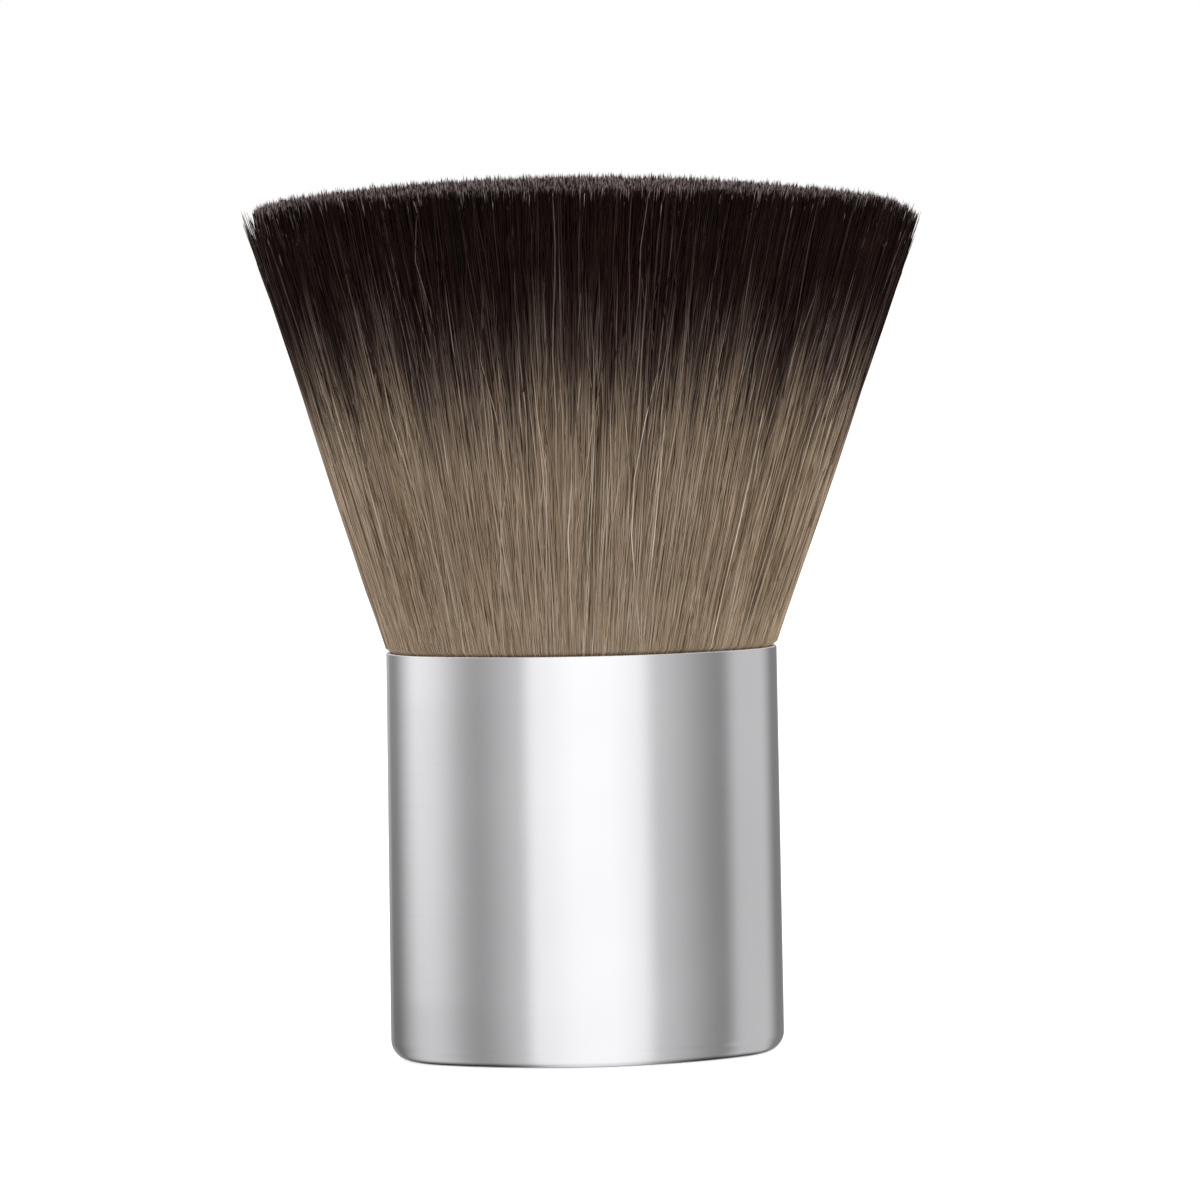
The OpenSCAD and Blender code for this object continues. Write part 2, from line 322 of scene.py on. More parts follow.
def hair_paths(share, radial, heights, style):
    """The middle line of each strand: an array of strands by rings by xyz."""
    count = len(share)
    plan = tuft_place(share[:, None], radial[:, None], heights)
    ahead = tuft_place(share[:, None] + 1e-3, radial[:, None], heights)
    side = ahead - plan
    side /= np.maximum(np.linalg.norm(side, axis=-1, keepdims=True), 1e-9)
    outward = np.stack([side[..., 1], -side[..., 0]], -1)
    t = np.clip(heights / heights[:, -1:], 0, 1)
    near_top = np.clip(heights / (TIPS_Z - RIM_Z), 0, 1) ** NEAR_TOP_POWER
    rows = share[:, None]
    near_skin = radial[:, None]
    sway = bunching(rows, t, SIDE_WAVES) * near_skin
    sway = sway + wander(count, style["sway"], (0.4, 1.3), (1.8, 4.6))(t)
    sway += rng.normal(0, style["lean"], count)[:, None] * t
    swell = bunching(rows, t, OUT_WAVES) * near_skin
    swell = swell + wander(count, style["weave"], (0.5, 1.5), (1.6, 3.2))(t)
    swell += style["splay"] * rng.uniform(*SPLAY_RANGE, count)[:, None] * near_top
    tuck = style["tuck"] * np.where(plan[..., 0] < 0, 1, RIGHT_TUCK)
    swell -= tuck * np.clip(np.abs(plan[..., 0]) / TUFT_HALF_W, 0, 1) ** TUCK_POWER * near_top
    # A sideways bend at a round end would stand off it, so it is drawn in
    swell -= sway**2 / (2 * END_CURVE) * np.abs(np.cos(2 * math.pi * rows)) ** ROUND_END_POWER
    plan = plan + side * sway[..., None] + outward * swell[..., None]
    return np.concatenate([plan, (RIM_Z + heights)[..., None]], -1)


def hair_mesh(name, paths, shares_up, radii, classes):
    """Tapered tubes round the paths, closed at the root by a face and at the tip by a point."""
    count, rings = paths.shape[:2]
    rings -= 1
    along = paths[:, -1] - paths[:, 0]
    along /= np.linalg.norm(along, axis=1, keepdims=True)
    first = np.cross(along, [0.0, 1.0, 0.0])
    first /= np.linalg.norm(first, axis=1, keepdims=True)
    second = np.cross(along, first)
    turn = rng.uniform(0, 2 * math.pi, count)
    angles = turn[:, None] + 2 * math.pi * np.arange(HAIR_SIDES) / HAIR_SIDES
    round_way = (
        np.cos(angles)[..., None] * first[:, None] + np.sin(angles)[..., None] * second[:, None]
    )
    tubes = paths[:, :rings, None] + radii[:, :rings, None, None] * round_way[:, None]
    per = rings * HAIR_SIDES + 1
    points = np.concatenate([tubes.reshape(count, -1, 3), paths[:, -1:]], 1).reshape(-1, 3)
    start = np.arange(count)[:, None, None] * per
    ring = np.arange(rings - 1)[None, :, None] * HAIR_SIDES
    k = np.arange(HAIR_SIDES)
    after = (k + 1) % HAIR_SIDES
    low = start + ring
    quads = np.stack([low + k, low + after, low + HAIR_SIDES + after, low + HAIR_SIDES + k], -1)
    last = start[:, 0] + (rings - 1) * HAIR_SIDES
    tip = np.broadcast_to(start[:, 0] + per - 1, (count, HAIR_SIDES))
    tips = np.stack([last + k, last + after, tip], -1)
    caps = np.arange(count)[:, None] * per + k[::-1]
    # Each strand lies in its class's column of the map, and its height there is its share of the way up
    edge = np.array([0.25, 0.75])
    left, right = ((classes[:, None] + edge) / HAIR_CLASSES).T
    shape = (count, rings - 1, HAIR_SIDES)
    below = np.broadcast_to(shares_up[:, : rings - 1, None], shape)
    above = np.broadcast_to(shares_up[:, 1:rings, None], shape)
    a = np.broadcast_to(left[:, None, None], shape)
    b = np.broadcast_to(right[:, None, None], shape)
    quad_uv = np.stack([a, below, b, below, b, above, a, above], -1).reshape(-1, 2)
    shape = (count, HAIR_SIDES)
    a = np.broadcast_to(left[:, None], shape)
    b = np.broadcast_to(right[:, None], shape)
    below = np.broadcast_to(shares_up[:, rings - 1, None], shape)
    above = np.broadcast_to(shares_up[:, rings, None], shape)
    tip_uv = np.stack([a, below, b, below, (a + b) / 2, above], -1).reshape(-1, 2)
    foot = shares_up[:, 0]
    cap_uv = np.stack([left, foot, right, foot, (left + right) / 2, foot + 0.002], -1).reshape(-1, 2)
    tris = np.concatenate([tips.reshape(-1, 3), caps])
    return make_mesh(
        name, points, quads.reshape(-1, 4), tris, np.concatenate([quad_uv, tip_uv, cap_uv])
    )


def sway_waves(table):
    """Waves round the tuft: how many go round, their size, and a seeded phase and twist."""
    return [
        (count, size * MM, rng.uniform(0, 2 * math.pi), rng.uniform(-0.35, 0.35))
        for count, size in table
    ]


SIDE_WAVES = sway_waves([(11, 0.30), (23, 0.20), (41, 0.13), (67, 0.10), (103, 0.06)])
OUT_WAVES = sway_waves([(7, 0.10), (19, 0.08), (43, 0.06)])
DYE_WAVES = [
    (waves, size, rng.uniform(0, 2 * math.pi))
    for waves, size in ((9, 0.14), (17, 0.2), (31, 0.22), (53, 0.16))
]


def hair_style(thin, thick, sway, weave, lean, splay, tuck):
    """How one kind of strand grows, in millimetres.

    These are its least and greatest radius, its bends sideways and outward, and at its tip its chance
    lean, its splay outward and how far it is drawn in at the tuft's two ends.
    """
    return {
        "r": (thin * MM, thick * MM),
        "sway": sway * MM,
        "weave": weave * MM,
        "lean": lean * MM,
        "splay": splay * MM,
        "tuck": tuck * MM,
    }


SKIN_STYLE = hair_style(0.036, 0.068, 0.28, 0.05, 0.5, 0.0, END_TUCK)
TOP_STYLE = hair_style(0.055, 0.095, 0.22, 0.1, 0.4, 0.0, END_TUCK)
END_STYLE = hair_style(0.036, 0.06, 0.24, 0.03, 0.5, 1.2, LOOSE_TUCK)
STRAY_STYLE = hair_style(0.036, 0.06, 0.5, 0.04, 0.9, 0.1, END_TUCK)


def strand_heights(share, radial, steps, from_rim, short):
    """Ring heights for each strand, up to a domed and ragged top."""
    count = len(share)
    top = top_height(tuft_place(share, radial, np.full(count, WIDEST_H)))
    proud = np.minimum(rng.exponential(TIP_PROUD, count), TIP_CUT)
    ragged = rng.exponential(TIP_RAGGED, count)
    cut_short = rng.uniform(0, short, count)
    full = (top - TIP_BELOW + proud - ragged - cut_short)[:, None]
    if not from_rim:
        return full * steps
    roots = np.broadcast_to(ROOT_RINGS, (count, len(ROOT_RINGS)))
    return np.concatenate([roots, FREE_FROM + (full - FREE_FROM) * steps], 1)


def strand_radii(shares_up, thickness):
    """Radius along each strand: even for most of its length, then drawn out to its tip."""
    size = rng.uniform(*thickness, len(shares_up))[:, None]
    t = np.clip((shares_up - TAPER_FROM) / (1 - TAPER_FROM), 0, 1)
    return size * (1 - (1 - TIP_SHARE) * t)


def strand_classes(share):
    """The tone and dye height of each strand. Neighbours often share a tone, and the dye line wanders."""
    count = len(share)
    tones = HAIR_CLASSES // DYE_STEPS
    lock = np.floor((share + rng.normal(0, LOCK_BLUR, count)) * LOCKS).astype(int)
    lock = lock * LOCK_STRIDE % tones
    own = rng.integers(0, tones, count)
    tone = np.where(rng.uniform(0, 1, count) < LOCK_SHARE, lock, own)
    line = rng.normal(0, DYE_CHANCE, count)
    for waves, size, phase in DYE_WAVES:
        line += size * np.sin(2 * math.pi * waves * share + phase)
    line = np.clip(line, -1, DYE_HIGHEST)
    dye = np.round((0.5 + 0.5 * line) * (DYE_STEPS - 1)).astype(int)
    return tone * DYE_STEPS + dye


def hair_piece(name, share, radial, steps, from_rim, style, finish, short=0.0):
    """Builds one piece of hair and sets it on the frame."""
    heights = strand_heights(share, radial, steps, from_rim, short)
    paths = hair_paths(share, radial, heights, style)
    shares_up = np.clip(heights / heights[:, -1:], 0.001, 1)
    classes = strand_classes(share)
    ob = hair_mesh(name, paths, shares_up, strand_radii(shares_up, style["r"]), classes)
    ob.data.materials.append(finish)
    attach(ob, "root")


# Materials


def node_material(name):
    """A new material, its node tree and its shader."""
    mat = bpy.data.materials.new(name)
    mat.use_nodes = True
    tree = mat.node_tree
    return mat, tree, tree.nodes["Principled BSDF"]


def add(tree, kind, **values):
    """Adds a node and sets what is given: inputs by name with underscores, and the rest as settings."""
    node = tree.nodes.new("ShaderNode" + kind)
    for key, value in values.items():
        name = key.replace("_", " ")
        if name in node.inputs:
            node.inputs[name].default_value = value
        else:
            setattr(node, key, value)
    return node


def math_node(tree, operation, a, b=None, clamp=False):
    """A Math node on sockets or numbers."""
    node = tree.nodes.new("ShaderNodeMath")
    node.operation = operation
    node.use_clamp = clamp
    for k, value in enumerate((a, b)):
        if value is None:
            continue
        if isinstance(value, (int, float)):
            node.inputs[k].default_value = value
        else:
            tree.links.new(value, node.inputs[k])
    return node.outputs[0]


def ramp_node(tree, factor, stops):
    """A Color Ramp on a socket. Its stops are (place, colour), with the colour in hex or as a grey level."""
    node = tree.nodes.new("ShaderNodeValToRGB")
    ramp = node.color_ramp
    while len(ramp.elements) < len(stops):
        ramp.elements.new(0.5)
    for element, (place, colour) in zip(ramp.elements, stops):
        element.position = place
        element.color = srgb(colour) if isinstance(colour, str) else (colour, colour, colour, 1)
    tree.links.new(factor, node.inputs["Fac"])
    return node.outputs["Color"]


def ranged(tree, socket, low=0.0, high=1.0, to_low=0.0, to_high=1.0, smooth=False):
    """A Map Range on a socket, held to its range."""
    node = add(tree, "MapRange", From_Min=low, From_Max=high, To_Min=to_low, To_Max=to_high)
    node.interpolation_type = "SMOOTHSTEP" if smooth else "LINEAR"
    tree.links.new(socket, node.inputs["Value"])
    return node.outputs["Result"]


def split(tree, socket):
    """The three numbers of a vector socket, by their letters."""
    node = add(tree, "SeparateXYZ")
    tree.links.new(socket, node.inputs[0])
    return node.outputs


def plain_colour(tree, value):
    """A colour as a socket."""
    node = add(tree, "RGB")
    node.outputs[0].default_value = value
    return node.outputs[0]


def mix_colours(tree, factor, a, b, blend="MIX"):
    """Mixes two colour sockets."""
    node = tree.nodes.new("ShaderNodeMix")
    node.data_type = "RGBA"
    node.blend_type = blend
    if isinstance(factor, (int, float)):
        node.inputs["Factor"].default_value = factor
    else:
        tree.links.new(factor, node.inputs["Factor"])
    tree.links.new(a, node.inputs["A"])
    tree.links.new(b, node.inputs["B"])
    return node.outputs["Result"]


def hair_material(name, root_stops, tip_stops):
    """Two-tone filament: beige from the root and dark to the tip, with every strand a little different."""
    mat, tree, shader = node_material(name)
    place = split(tree, add(tree, "UVMap", uv_map="OFBake").outputs["UV"])
    number = math_node(tree, "FLOOR", math_node(tree, "MULTIPLY", place["X"], HAIR_CLASSES))
    up = place["Y"]

    def chances(shift):
        noise = add(tree, "TexWhiteNoise", noise_dimensions="1D")
        tree.links.new(math_node(tree, "ADD", number, shift), noise.inputs["W"])
        node = add(tree, "SeparateColor")
        tree.links.new(noise.outputs["Color"], node.inputs[0])
        return node.outputs

    one, two = chances(0.5), chances(900.5)
    # Each tone comes at every dye height, so that the dye can follow the strand's place on the tuft
    dye_step = math_node(tree, "MODULO", number, DYE_STEPS)
    raised = math_node(tree, "MULTIPLY", dye_step, DYE_SPREAD / (DYE_STEPS - 1))
    raised = math_node(tree, "ADD", raised, -DYE_SPREAD / 2)
    dyed = ranged(tree, math_node(tree, "SUBTRACT", up, raised), DYE_FROM, DYE_TO)
    root = ramp_node(tree, one[1], root_stops)
    middle = ramp_node(tree, two[2], [(0.0, "41332d"), (0.5, "68594e"), (1.0, "8e8076")])
    tip = ramp_node(tree, one[2], tip_stops)
    colour = mix_colours(tree, ranged(tree, dyed, 0.0, 0.55), root, middle)
    colour = mix_colours(tree, ranged(tree, dyed, 0.45, 1.0), colour, tip)
    # The tip of a strand is painted pale, over a length and by an amount of its own
    pale_tip_length = math_node(tree, "MULTIPLY", one[0], two[0])
    pale_tip_length = math_node(tree, "MULTIPLY", pale_tip_length, PALE_TIP_MORE)
    pale_tip_length = math_node(tree, "ADD", pale_tip_length, PALE_TIP_LEAST)
    from_tip = math_node(tree, "SUBTRACT", 1.0, up)
    pale_tip = math_node(tree, "SUBTRACT", 1.0, math_node(tree, "DIVIDE", from_tip, pale_tip_length), True)
    pale_tip = math_node(tree, "MULTIPLY", pale_tip, ranged(tree, two[1], 0.22, 0.85))
    colour = mix_colours(tree, pale_tip, colour, plain_colour(tree, srgb("e0cfcd")))
    # Faint streaks run along each strand
    stretched = add(tree, "CombineXYZ")
    tree.links.new(math_node(tree, "MULTIPLY", number, 7.31), stretched.inputs["X"])
    tree.links.new(math_node(tree, "MULTIPLY", up, 7.0), stretched.inputs["Y"])
    streak = add(tree, "TexNoise", noise_dimensions="2D", Scale=1.0, Detail=2.0)
    tree.links.new(stretched.outputs[0], streak.inputs["Vector"])
    shade = ramp_node(tree, streak.outputs["Fac"], [(0.3, "d2cdc8"), (0.7, "ffffff")])
    colour = mix_colours(tree, 1.0, colour, shade, "MULTIPLY")
    tree.links.new(colour, shader.inputs["Base Color"])
    tree.links.new(ranged(tree, two[1], to_low=0.34, to_high=0.5), shader.inputs["Roughness"])
    shader.inputs["Specular IOR Level"].default_value = 0.19
    shader.inputs["Specular Tint"].default_value = srgb("ffdfd2")
    return mat


def metal_material(name, low, high, rough_low, rough_high, grain):
    """Drawn aluminium with a fine grain round the handle and a faint mottle."""
    mat, tree, shader = node_material(name)
    place = add(tree, "TexCoord").outputs["Object"]
    scale = add(tree, "Mapping")
    scale.inputs["Scale"].default_value = (60, 60, 2600)
    tree.links.new(place, scale.inputs["Vector"])
    fine = add(tree, "TexNoise", Scale=1.0, Detail=3.0)
    tree.links.new(scale.outputs[0], fine.inputs["Vector"])
    cloud = add(tree, "TexNoise", Scale=90.0, Detail=3.0)
    tree.links.new(place, cloud.inputs["Vector"])
    colour = ramp_node(tree, cloud.outputs["Fac"], [(0.3, low), (0.7, high)])
    tree.links.new(colour, shader.inputs["Base Color"])
    blend = math_node(tree, "ADD", fine.outputs["Fac"], cloud.outputs["Fac"])
    blend = math_node(tree, "MULTIPLY", blend, 0.5)
    rough = ranged(tree, blend, to_low=rough_low, to_high=rough_high)
    tree.links.new(rough, shader.inputs["Roughness"])
    bump = add(tree, "Bump", Strength=grain, Distance=0.02 * MM)
    tree.links.new(fine.outputs["Fac"], bump.inputs["Height"])
    tree.links.new(bump.outputs[0], shader.inputs["Normal"])
    shader.inputs["Metallic"].default_value = 1.0
    return mat


def plain_material(name, low, high, roughness, scale, bump_size, coat=0.0):
    """A cast, moulded or spun surface with a mottled colour and a fine relief."""
    mat, tree, shader = node_material(name)
    place = add(tree, "TexCoord").outputs["Object"]
    noise = add(tree, "TexNoise", Scale=scale, Detail=4.0)
    tree.links.new(place, noise.inputs["Vector"])
    colour = ramp_node(tree, noise.outputs["Fac"], [(0.3, low), (0.7, high)])
    tree.links.new(colour, shader.inputs["Base Color"])
    rough = ranged(tree, noise.outputs["Fac"], to_low=roughness - 0.06, to_high=roughness + 0.06)
    tree.links.new(rough, shader.inputs["Roughness"])
    bump = add(tree, "Bump", Strength=0.4, Distance=bump_size)
    tree.links.new(noise.outputs["Fac"], bump.inputs["Height"])
    tree.links.new(bump.outputs[0], shader.inputs["Normal"])
    shader.inputs["Coat Weight"].default_value = coat
    return mat


# The handle


def build_shell():
    """The drawn cup, with a rounded base edge and a rounded lip."""
    inner_r = BASE_R - WALL
    lip_z = RIM_Z - LIP_R
    profile = [(None, 0.0), (-BASE_R - BASE_FLAT, 0.0)]
    profile += arc_profile(-BASE_R, BASE_R, BASE_R, -90, 0, BASE_STEPS)
    walls = np.linspace(0, 1, WALL_STEPS + 1)[1:]
    profile += [(-MOUTH_DRAFT * t, BASE_R + (lip_z - BASE_R) * t) for t in walls]
    profile += arc_profile(-MOUTH_DRAFT - LIP_R, lip_z, LIP_R, LIP_START, 90, LIP_OUT_STEPS)
    profile += arc_profile(-MOUTH_DRAFT - WALL + LIP_R, lip_z, LIP_R, 90, 180, LIP_IN_STEPS)
    profile += [(-WALL, FLOOR + inner_r)]
    profile += arc_profile(-WALL - inner_r, FLOOR + inner_r, inner_r, 0, -90, LIP_IN_STEPS)[1:]
    profile += [(None, FLOOR)]
    shell = lathe_oval("handle_shell_satin", profile, SHELL_AROUND)
    shell.data.materials.append(
        metal_material("satin_aluminium", "eeeef0", "f3f3f5", 0.11, 0.17, 0.06)
    )
    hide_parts("handle_shell")
    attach(shell, "root")


build_shell()

inner_finishes = {
    "base_weight": metal_material("weight_steel", "8c8e92", "a3a5a8", 0.38, 0.5, 0.2),
    "tuft_cup": metal_material("plain_aluminium", "b9bbbf", "cccdd0", 0.3, 0.4, 0.2),
    "handle_insert": plain_material("black_plastic", "0c0c0d", "161617", 0.5, 900, 0.02 * MM),
    "root_resin": plain_material("amber_resin", "a87d3a", "c29650", 0.15, 300, 0.02 * MM, 0.5),
    "root_binding": plain_material("white_thread", "d5cfbb", "ece7d8", 0.7, 2500, 0.08 * MM),
}
adhesive = plain_material("clear_adhesive", "cfc8ab", "dfd9c2", 0.25, 500, 0.03 * MM, 0.3)
# Every node of the part takes a finish, though only the eight inner ones stay in the scene
for name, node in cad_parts.items():
    finish = inner_finishes.get(name, adhesive)
    node.data.materials.clear()
    node.data.materials.append(finish)

# The tuft

filament = hair_material(
    "two_tone_filament",
    [(0.0, "7a6347"), (0.07, "9a866c"), (0.5, "b09c84"), (0.92, "bfad97"), (1.0, "ddd0be")],
    [(0.0, "0c0504"), (0.5, "1c0a08"), (0.86, "25130f"), (0.94, "2e1d18"), (1.0, "4e3f3a")],
)
loose_filament = hair_material(
    "loose_filament",
    [(0.0, "94816a"), (0.5, "b5a38c"), (1.0, "d6cab8")],
    [(0.0, "0e0605"), (0.5, "241714"), (0.8, "382a25"), (1.0, "756661")],
)


def build_core():
    """The tuft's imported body: roots in the cup, a skin just under the strands, and a domed top."""
    share = np.arange(CORE_AROUND) / CORE_AROUND
    root = oval_points(share, ROOT_HALF_W - HALF_W)
    rows, ups = [], []
    for z in (ROOT_Z, ROOT_Z + ROOT_LENGTH):
        rows.append(np.column_stack([root, np.full(CORE_AROUND, z)]))
        ups.append(0.0)
    skin = np.full(CORE_AROUND, CORE_SHARE)
    top = top_height(tuft_place(share, skin, np.full(CORE_AROUND, WIDEST_H))) - CORE_BELOW
    for t in np.linspace(0, 1, CORE_RINGS):
        heights = -CORE_FOOT + (top + CORE_FOOT) * t
        rows.append(np.column_stack([tuft_place(share, skin, heights), RIM_Z + heights]))
        ups.append(np.clip(t, 0, CORE_SIDE_UP))
    for radial in CORE_CROWN:
        plan = tuft_place(share, np.full(CORE_AROUND, CORE_SHARE * radial), top)
        heights = top_height(plan) - CORE_BELOW + rng.normal(0, CORE_ROUGH, CORE_AROUND)
        rows.append(np.column_stack([plan, RIM_Z + heights]))
        ups.append(CORE_TOP_UP)
    middles = [[0, 0, ROOT_Z], [TUFT_LEAN * (TIPS_Z - RIM_Z), 0, TIPS_Z - CORE_BELOW]]
    points = np.concatenate([*rows, middles])
    # Each column of faces takes a class of hair in the map
    column = np.arange(CORE_AROUND) / HAIR_CLASSES
    left, right = column + 0.25 / HAIR_CLASSES, column + 0.75 / HAIR_CLASSES
    middle = (left + right) / 2
    uvs = []
    for below, above in zip(ups[:-1], ups[1:]):
        low, high = np.full(CORE_AROUND, below), np.full(CORE_AROUND, above + 0.002)
        uvs.append(np.stack([left, low, right, low, right, high, left, high], 1).reshape(-1, 2))
    zero, small = np.zeros(CORE_AROUND), np.full(CORE_AROUND, 0.004)
    uvs.append(np.stack([middle, zero, right, small, left, small], 1).reshape(-1, 2))
    crown_up, crown_edge = zero + 0.9, zero + 0.88
    uvs.append(np.stack([middle, crown_up, left, crown_edge, right, crown_edge], 1).reshape(-1, 2))
    quads, fans = ring_quads(len(rows), CORE_AROUND), end_fans(len(rows), CORE_AROUND)
    core = make_mesh("tuft_core", points, quads, fans, np.concatenate(uvs))
    core.data.materials.append(filament)
    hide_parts("bristle_tuft")
    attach(core, "root")


def build_hair():
    """Strands round the skin, shorter ones over the top, loose ones at the two ends, and strays."""
    for k in range(SKIN_PIECES):
        share = (k + rng.uniform(0, 1, SKIN_HAIRS)) / SKIN_PIECES
        radial = 1 - SKIN_DEPTH * rng.uniform(0, 1, SKIN_HAIRS) ** SKIN_CROWDING
        hair_piece(f"tuft_skin_{k + 1}", share, radial, SKIN_STEPS, True, SKIN_STYLE, filament)
    for k in range(TOP_PIECES):
        share = (k + rng.uniform(0, 1, TOP_HAIRS)) / TOP_PIECES
        radial = TOP_REACH * np.sqrt(rng.uniform(0, 1, TOP_HAIRS))
        hair_piece(f"tuft_top_{k + 1}", share, radial, TOP_STEPS, False, TOP_STYLE, filament)
    side = rng.integers(0, 2, END_HAIRS) * 0.5
    share = side + rng.normal(0, END_SPREAD, END_HAIRS)
    radial = rng.uniform(END_FROM, 1.0, END_HAIRS)
    hair_piece("tuft_ends", share, radial, SKIN_STEPS, True, END_STYLE, loose_filament, END_SHORT)
    share = rng.uniform(0, 1, STRAY_HAIRS)
    radial = rng.uniform(STRAY_FROM, 1.0, STRAY_HAIRS)
    hair_piece(
        "tuft_strays", share, radial, SKIN_STEPS, True, STRAY_STYLE, loose_filament, STRAY_SHORT
    )


build_core()
build_hair()

# The studio

CAMERA_AZIMUTH = math.radians(-6.5)
# The way from the brush to the camera, with its rise
TO_CAMERA = (math.sin(CAMERA_AZIMUTH), -math.cos(CAMERA_AZIMUTH), 0.09)
DOME_R = 3.0
DOME_RINGS = 48
DOME_AROUND = 96
# The lights mirrored in a wall, by the way it faces in degrees from the front. Each has its left and
# right end, how far it fades beyond each of them, and its brightness over the dim surround
SURROUND_LIGHT = 0.22
LEFT_RIM = (-180, -84, 1, 6, 0.18)
LEFT_STRIP = (-44, -38, 28, 14, 0.54)
FRONT_GLOW = (-12, 9, 20, 22, 0.40)
FRONT_STRIP = (-13, 8.5, 4, 5, 0.36)
FRONT_SHINE = (-4, 2, 8, 8, 0.12)
RIGHT_STRIP = (33, 44, 5, 18, 0.34)
RIGHT_RIM = (80, 180, 8, 1, 0.20)
LIGHTS = [LEFT_RIM, LEFT_STRIP, FRONT_GLOW, FRONT_STRIP, FRONT_SHINE, RIGHT_STRIP, RIGHT_RIM]
FLOOR_GLOW = 0.45
FLOOR_HALF = 6.0
SKY_LIGHT = 0.62


def dome_glow(tree):
    """The dome's colour and strength, by the surface that would mirror each place on it to the camera."""

    def vector(operation, a, b=None):
        node = add(tree, "VectorMath", operation=operation)
        tree.links.new(a, node.inputs[0])
        if b is not None:
            node.inputs[1].default_value = b
        return node

    def facing(parts):
        return math_node(tree, "ARCTAN2", parts["X"], math_node(tree, "MULTIPLY", parts["Y"], -1.0))

    way = vector("NORMALIZE", add(tree, "TexCoord").outputs["Object"]).outputs["Vector"]
    parts = split(tree, way)
    # An upright wall faces half-way between the camera and what it mirrors, and any other surface
    # faces along the sum of the two directions
    upright = math_node(tree, "ADD", facing(parts), CAMERA_AZIMUTH)
    upright = math_node(tree, "MULTIPLY", upright, 0.5)
    between = vector("ADD", way, TO_CAMERA).outputs["Vector"]
    half = split(tree, vector("NORMALIZE", between).outputs["Vector"])
    steep = ranged(tree, math_node(tree, "ABSOLUTE", parts["Z"]), 0.30, 0.55)
    # Straight behind, the two directions cancel out, so there every surface counts as upright
    ahead = vector("DOT_PRODUCT", way, TO_CAMERA).outputs["Value"]
    sound = ranged(tree, ahead, -0.95, -0.85, smooth=True)
    steep = math_node(tree, "MULTIPLY", steep, sound)
    turned = math_node(tree, "SUBTRACT", facing(half), upright)
    turned = math_node(tree, "ADD", upright, math_node(tree, "MULTIPLY", steep, turned))
    bands = SURROUND_LIGHT
    for left, right, left_fade, right_fade, level in LIGHTS:
        rising = ranged(tree, turned, math.radians(left - left_fade), math.radians(left), smooth=True)
        falling = ranged(tree, turned, math.radians(right + right_fade), math.radians(right), smooth=True)
        lit = math_node(tree, "MULTIPLY", math_node(tree, "MULTIPLY", rising, falling), level)
        bands = math_node(tree, "ADD", lit, bands)
    # A little brighter above and dimmer below, most of all to the left
    leftward = ranged(tree, turned, math.radians(-18), math.radians(-50), 0.03, 0.20)
    rise = ranged(tree, parts["Z"], -0.1133, -0.0603, -1.1, 1.1)
    gain = math_node(tree, "ADD", math_node(tree, "MULTIPLY", leftward, rise), 1.0)
    # A dark line where the base edge turns under, fading out in the middle
    under = ranged(tree, half["Z"], -0.66, -0.88, smooth=True)
    aside = math_node(tree, "ABSOLUTE", turned)
    aside = ranged(tree, aside, math.radians(6), math.radians(26), 0.25, 0.95, True)
    shade = math_node(tree, "MULTIPLY", math_node(tree, "MULTIPLY", under, aside), sound)
    strength = math_node(tree, "MULTIPLY", gain, math_node(tree, "SUBTRACT", 1.0, shade))
    # The rounded lip of the mouth catches a pale light from above
    above = math_node(tree, "MULTIPLY", ranged(tree, half["Z"], 0.25, 0.75, 0.0, 0.75, True), sound)
    return mix_colours(tree, above, bands, plain_colour(tree, (1, 1, 1, 1))), strength


def make_dome():
    """A dome that only shines in reflections, and lays upright bands down the handle."""
    polar = np.linspace(0, math.pi, DOME_RINGS + 2)[1:-1, None]
    turn = np.linspace(0, 2 * math.pi, DOME_AROUND, endpoint=False)
    height = np.broadcast_to(np.cos(polar), (DOME_RINGS, DOME_AROUND))
    points = np.stack([np.sin(polar) * np.cos(turn), np.sin(polar) * np.sin(turn), height], -1)
    points = np.vstack([points.reshape(-1, 3), [0, 0, 1], [0, 0, -1]]) * DOME_R
    quads, fans = ring_quads(DOME_RINGS, DOME_AROUND), end_fans(DOME_RINGS, DOME_AROUND)
    dome = make_mesh("studio_dome", points, quads, fans)
    mat = bpy.data.materials.new("studio_dome")
    mat.use_nodes = True
    tree = mat.node_tree
    tree.nodes.clear()
    glow = add(tree, "Emission")
    colour, strength = dome_glow(tree)
    tree.links.new(colour, glow.inputs["Color"])
    tree.links.new(strength, glow.inputs["Strength"])
    out = add(tree, "OutputMaterial")
    tree.links.new(glow.outputs[0], out.inputs["Surface"])
    dome.data.materials.append(mat)
    for flag in ("camera", "diffuse", "transmission", "volume_scatter", "shadow"):
        setattr(dome, "visible_" + flag, False)


make_dome()


def background_rays(tree):
    """Says 1 to the rays that should see the background, and 0 to those that light the brush."""
    path = add(tree, "LightPath")
    seen = math_node(tree, "MAXIMUM", path.outputs["Is Camera Ray"], path.outputs["Is Glossy Ray"])
    return math_node(tree, "MAXIMUM", seen, path.outputs["Is Transmission Ray"])


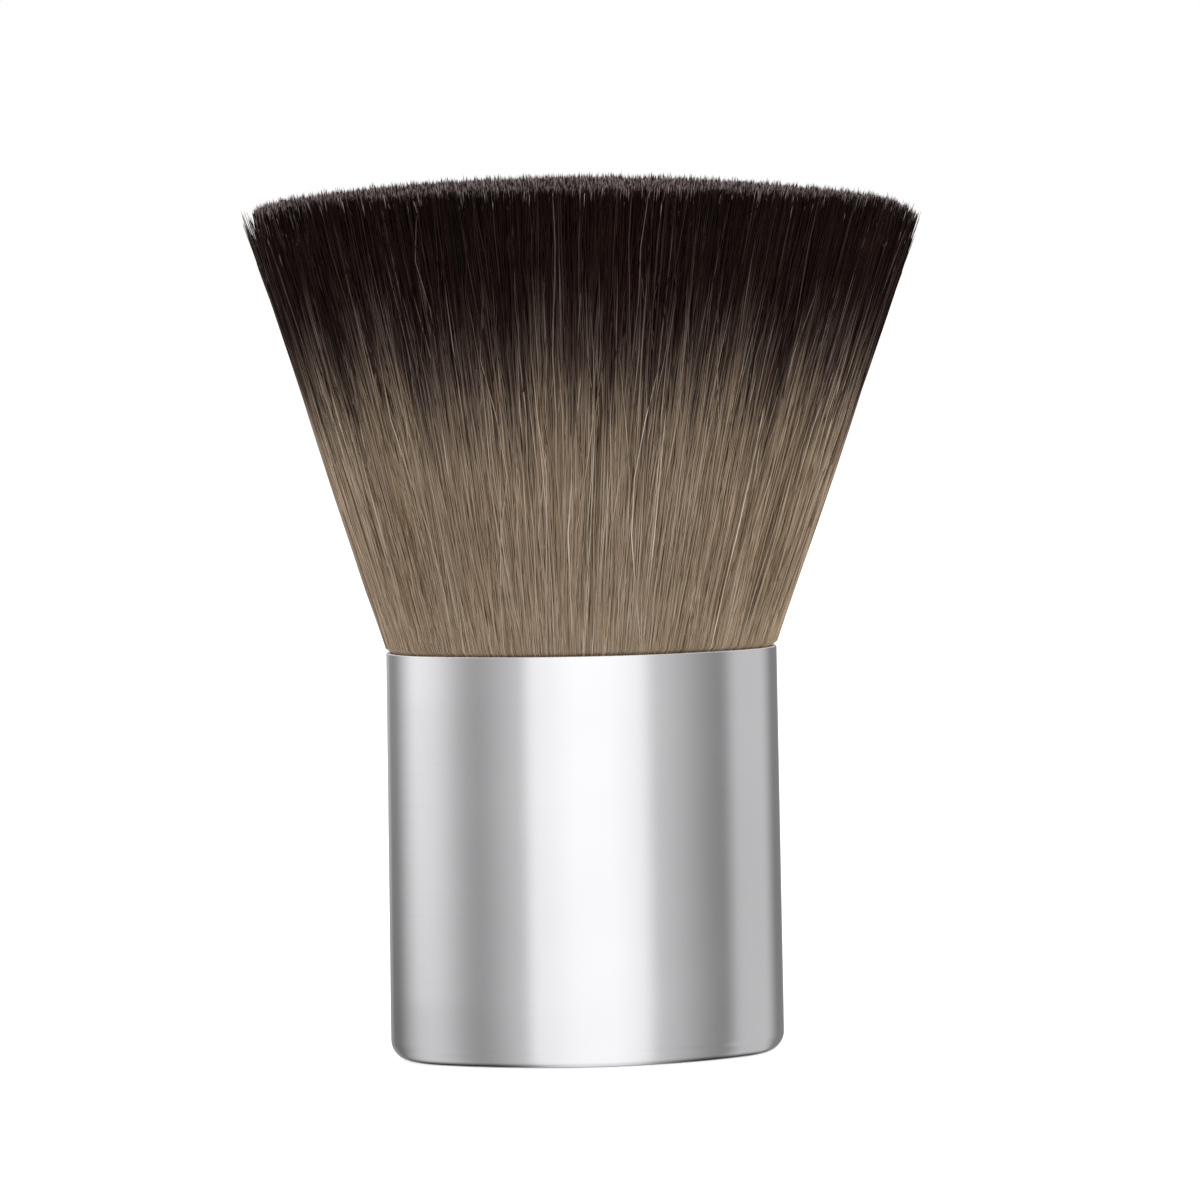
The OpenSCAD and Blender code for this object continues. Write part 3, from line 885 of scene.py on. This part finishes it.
def make_floor():
    """A pale floor that takes the brush's soft shadow, with white all round it."""
    corners = np.array([[-1, -1, 0], [1, -1, 0], [1, 1, 0], [-1, 1, 0]]) * FLOOR_HALF
    floor = make_mesh("studio_floor", corners, np.array([[0, 1, 2, 3]]), np.zeros((0, 3), int))
    mat, tree, shader = node_material("studio_floor")
    noise = add(tree, "TexNoise", Scale=3.0)
    colour = ramp_node(tree, noise.outputs["Fac"], [(0.0, "fcfcfc"), (1.0, "ffffff")])
    tree.links.new(colour, shader.inputs["Base Color"])
    shader.inputs["Roughness"].default_value = 0.9
    shader.inputs["Specular IOR Level"].default_value = 0.0
    shader.inputs["Emission Color"].default_value = (1, 1, 1, 1)
    glow = math_node(tree, "MULTIPLY", background_rays(tree), FLOOR_GLOW)
    tree.links.new(glow, shader.inputs["Emission Strength"])
    floor.data.materials.append(mat)
    floor.visible_glossy = False


make_floor()


def make_world():
    """A plain white surround, which lights softly."""
    world = bpy.data.worlds.new("studio")
    bpy.context.scene.world = world
    world.use_nodes = True
    tree = world.node_tree
    back = tree.nodes["Background"]
    level = ranged(tree, background_rays(tree), to_low=SKY_LIGHT)
    tree.links.new(level, back.inputs["Strength"])
    back.inputs["Color"].default_value = (1, 1, 1, 1)


make_world()


def soft_box(name, place, aim_z, side, watts, colour=(1, 1, 1)):
    """A square lamp that points at a height on the brush and stays out of reflections."""
    lamp = bpy.data.lights.new(name, "AREA")
    lamp.size = side
    lamp.energy = watts
    lamp.color = colour
    ob = bpy.data.objects.new(name, lamp)
    bpy.context.scene.collection.objects.link(ob)
    ob.location = place
    ob.rotation_euler = (Vector((0, 0, aim_z)) - Vector(place)).to_track_quat("-Z", "Y").to_euler()
    ob.visible_glossy = False
    ob.visible_camera = False


COOL = (0.94, 0.95, 1.0)
soft_box("key_soft_box", (-0.6, -0.6, 0.5), 0.045, 0.5, 1.8, COOL)
soft_box("fill_soft_box", (0.7, -0.5, 0.35), 0.045, 0.5, 1.8)
soft_box("back_soft_box", (0.1, 0.8, 0.6), 0.045, 0.6, 1.2)
soft_box("left_edge_soft_box", (-0.6, 0.3, 0.12), 0.055, 0.4, 1.8, COOL)
soft_box("right_edge_soft_box", (0.6, 0.25, 0.12), 0.055, 0.4, 2.2)

# The camera stands where the photograph's did

CAMERA_DISTANCE = 0.5295
CAMERA_HEIGHT = 66 * MM
AIM_HEIGHT = 36.33 * MM
AIM_RIGHT = 1.51 * MM
ROLL = -0.016
LENS = 200
SENSOR = 36


def place_camera():
    """The camera, aimed a little to the right of the brush's axis and rolled."""
    rightward = Vector((math.cos(CAMERA_AZIMUTH), math.sin(CAMERA_AZIMUTH), 0))
    toward = Vector((math.sin(CAMERA_AZIMUTH), -math.cos(CAMERA_AZIMUTH), 0))
    aim = rightward * AIM_RIGHT + Vector((0, 0, AIM_HEIGHT))
    place = aim + toward * CAMERA_DISTANCE
    place.z = CAMERA_HEIGHT
    lens = bpy.data.cameras.new("camera")
    lens.lens = LENS
    lens.sensor_width = SENSOR
    camera = bpy.data.objects.new("camera", lens)
    bpy.context.scene.collection.objects.link(camera)
    turn = (aim - place).to_track_quat("-Z", "Y").to_matrix() @ Matrix.Rotation(ROLL, 3, "Z")
    camera.matrix_world = Matrix.Translation(place) @ turn.to_4x4()
    bpy.context.scene.camera = camera


place_camera()
bpy.context.scene.view_settings.view_transform = "Standard"
